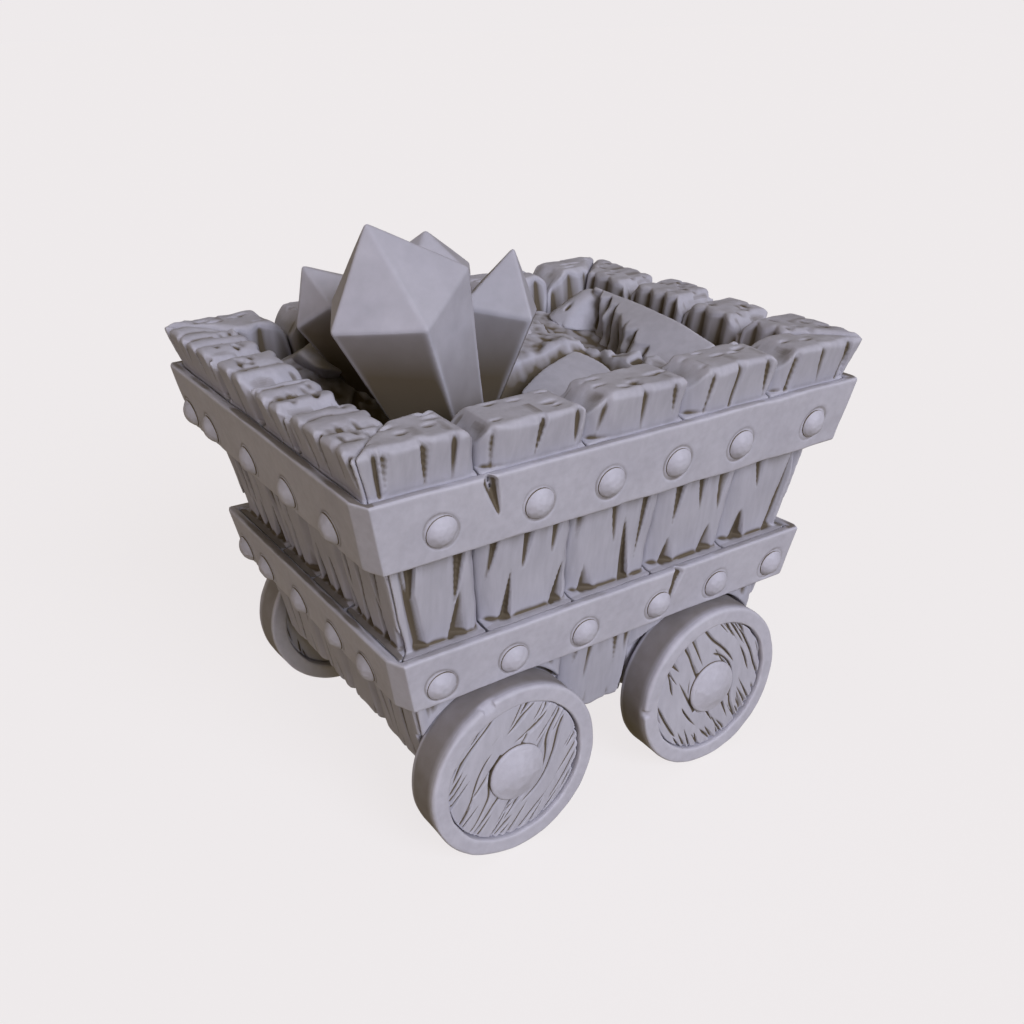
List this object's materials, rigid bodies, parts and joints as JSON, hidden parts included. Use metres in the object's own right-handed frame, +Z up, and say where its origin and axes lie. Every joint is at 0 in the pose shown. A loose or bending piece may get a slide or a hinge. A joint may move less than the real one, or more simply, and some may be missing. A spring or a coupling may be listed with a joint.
{
  "type": "mine cart",
  "caption": "Timber mine cart: a tapered plank tub in two domed-spike iron hoops on plain broad wheels, heaped with ore and pointed crystals.",
  "frame": {"origin": "on the ground, midway between the four wheels", "axes": "+X along the cart's length, +Y across it, +Z up"},
  "size_m": [1.204, 0.9513, 1.2663],
  "materials": {
    "tub_timber": "pale grey weathered timber, deep grooves darker and warmer",
    "floor_timber": "grey sawn boards",
    "wheel_timber": "carved grain, grey",
    "hoop_iron": "matt grey hammered strap iron",
    "spike_iron": "matt grey hammered domes",
    "tyre_iron": "matt grey cast rim",
    "hub_iron": "matt grey hammered cap",
    "bush_bronze": "dull bearing bronze",
    "axle_steel": "dull forged bar with turned journals",
    "fixing_steel": "dull grey",
    "crystal": "smooth matt grey facets",
    "ore": "broken grey rock"
  },
  "bodies": {
    "root": {"axle_clips": "fixing_steel", "axle_nuts": "fixing_steel", "back_plank_1": "tub_timber", "back_plank_2": "tub_timber", "back_plank_3": "tub_timber", "back_plank_4": "tub_timber", "back_plank_5": "tub_timber", "back_sill": "tub_timber", "clip_bolts": "fixing_steel", "floor_board_1": "floor_timber", "floor_board_2": "floor_timber", "floor_board_3": "floor_timber", "floor_board_4": "floor_timber", "floor_nails": "fixing_steel", "front_plank_1": "tub_timber", "front_plank_2": "tub_timber", "front_plank_3": "tub_timber", "front_plank_4": "tub_timber", "front_plank_5": "tub_timber", "front_sill": "tub_timber", "left_axle": "axle_steel", "left_end_plank_1": "tub_timber", "left_end_plank_2": "tub_timber", "left_end_plank_3": "tub_timber", "left_end_plank_4": "tub_timber", "lower_band": "hoop_iron", "lower_band_spikes": "spike_iron", "nut_washers": "fixing_steel", "right_axle": "axle_steel", "right_end_plank_1": "tub_timber", "right_end_plank_2": "tub_timber", "right_end_plank_3": "tub_timber", "right_end_plank_4": "tub_timber", "thrust_washers": "fixing_steel", "upper_band": "hoop_iron", "upper_band_spikes": "spike_iron"},
    "front_left_wheel": {"front_left_tyre": "tyre_iron", "front_left_disc": "wheel_timber", "front_left_hub_bush": "bush_bronze", "front_left_hub_cap": "hub_iron"},
    "front_right_wheel": {"front_right_tyre": "tyre_iron", "front_right_disc": "wheel_timber", "front_right_hub_bush": "bush_bronze", "front_right_hub_cap": "hub_iron"},
    "back_left_wheel": {"back_left_tyre": "tyre_iron", "back_left_disc": "wheel_timber", "back_left_hub_bush": "bush_bronze", "back_left_hub_cap": "hub_iron"},
    "back_right_wheel": {"back_right_tyre": "tyre_iron", "back_right_disc": "wheel_timber", "back_right_hub_bush": "bush_bronze", "back_right_hub_cap": "hub_iron"},
    "load": {"ore_heap": "ore", "ridge_rock": "ore", "front_slab": "ore", "loose_rocks": "ore", "large_crystal": "crystal", "right_crystal": "crystal", "back_crystal": "crystal", "left_crystal": "crystal"}
  },
  "joints": [
    {"name": "front_left_wheel_spin", "type": "hinge", "parent": "root", "child": "front_left_wheel", "pos_m": [-0.27, -0.393, 0.2], "axis": [0, 1, 0], "continuous": true},
    {"name": "front_right_wheel_spin", "type": "hinge", "parent": "root", "child": "front_right_wheel", "pos_m": [0.27, -0.393, 0.2], "axis": [0, 1, 0], "continuous": true},
    {"name": "back_left_wheel_spin", "type": "hinge", "parent": "root", "child": "back_left_wheel", "pos_m": [-0.27, 0.393, 0.2], "axis": [0, 1, 0], "continuous": true},
    {"name": "back_right_wheel_spin", "type": "hinge", "parent": "root", "child": "back_right_wheel", "pos_m": [0.27, 0.393, 0.2], "axis": [0, 1, 0], "continuous": true},
    {"name": "load_lift", "type": "slide", "parent": "root", "child": "load", "axis": [0, 0, 1], "range_m": [0, 0.72]}
  ]
}
